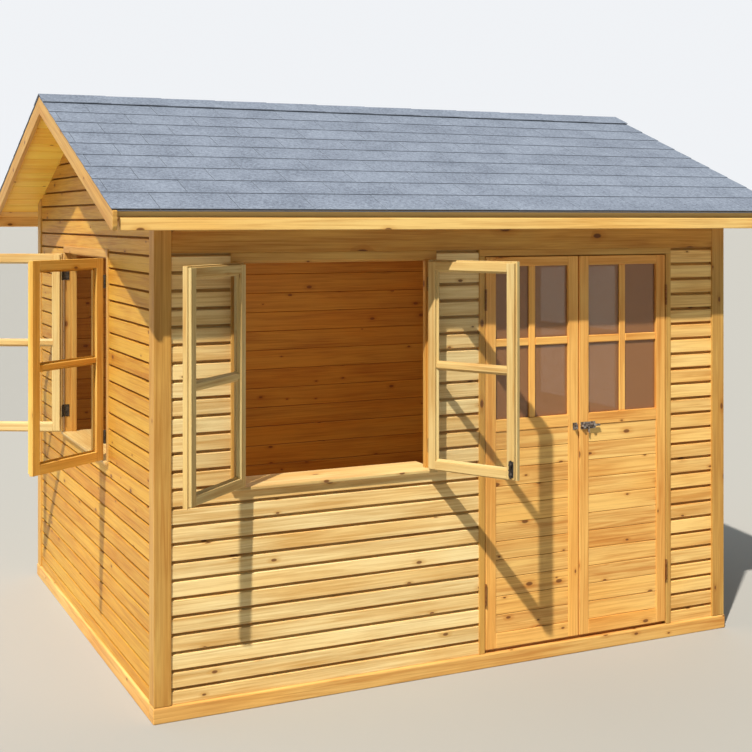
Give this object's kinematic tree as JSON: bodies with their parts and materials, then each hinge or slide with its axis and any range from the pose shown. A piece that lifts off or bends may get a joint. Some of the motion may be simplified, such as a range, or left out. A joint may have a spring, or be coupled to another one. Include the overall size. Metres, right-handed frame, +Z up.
{
  "type": "garden summerhouse",
  "caption": "Wooden garden summerhouse with a pitched shingle roof, half-glazed double doors and outward casement windows; both door leaves swing on butt hinges.",
  "frame": {"origin": "on the ground, under the middle of the base", "axes": "+X along the front to the right as seen from outside, +Y from the front wall to the back wall, +Z up"},
  "size_m": [3.6573, 3.1761, 2.7179],
  "materials": {
    "base_timber": "sawn, treated",
    "floor_boards": "planed",
    "wall_boards": "honey wood stain",
    "trim_timber": "pale wood stain",
    "joinery_timber": "honey wood stain",
    "door_boards": "honey wood stain",
    "roof_boards": "planed",
    "shingle_felt": "mineral granules on felt",
    "clear_glass": "clear",
    "dark_metal": "black japanned"
  },
  "bodies": {
    "building": {"back_bargeboards": "trim_timber", "back_roof_deck": "roof_boards", "back_shingles": "shingle_felt", "back_wall": "wall_boards", "base_rails_long": "base_timber", "base_rails_short": "base_timber", "corner_posts": "trim_timber", "door_frame_hinges": "dark_metal", "door_head": "trim_timber", "door_jambs": "trim_timber", "fascia_boards": "trim_timber", "floor_bearers": "base_timber", "floor_deck": "floor_boards", "front_bargeboards": "trim_timber", "front_roof_deck": "roof_boards", "front_shingles": "shingle_felt", "front_wall_below_window": "wall_boards", "front_wall_header": "wall_boards", "front_wall_piers": "wall_boards", "front_window_sashes": "joinery_timber", "left_gable": "wall_boards", "left_wall_below_window": "wall_boards", "left_wall_piers": "wall_boards", "left_window_sashes": "joinery_timber", "ridge_cap": "shingle_felt", "right_gable": "wall_boards", "right_wall_below_window": "wall_boards", "right_wall_piers": "wall_boards", "right_window_sashes": "joinery_timber", "roof_beams": "roof_boards", "window_glass": "clear_glass", "window_heads": "trim_timber", "window_hinges": "dark_metal", "window_jambs": "trim_timber", "window_sills": "trim_timber"},
    "left_door": {"left_door_glass": "clear_glass", "left_door_hinges": "dark_metal", "left_door_keeper": "dark_metal", "left_door_leaf": "joinery_timber", "left_door_panel": "door_boards"},
    "right_door": {"right_door_bolt": "dark_metal", "right_door_glass": "clear_glass", "right_door_hinges": "dark_metal", "right_door_leaf": "joinery_timber", "right_door_panel": "door_boards"}
  },
  "joints": [
    {"name": "left_door_hinge", "type": "hinge", "parent": "building", "child": "left_door", "pos_m": [0.0875, -1.2595, 1], "axis": [0, 0, -1], "range_deg": [0, 90]},
    {"name": "right_door_hinge", "type": "hinge", "parent": "building", "child": "right_door", "pos_m": [1.1275, -1.2595, 1], "axis": [0, 0, 1], "range_deg": [0, 170]}
  ]
}
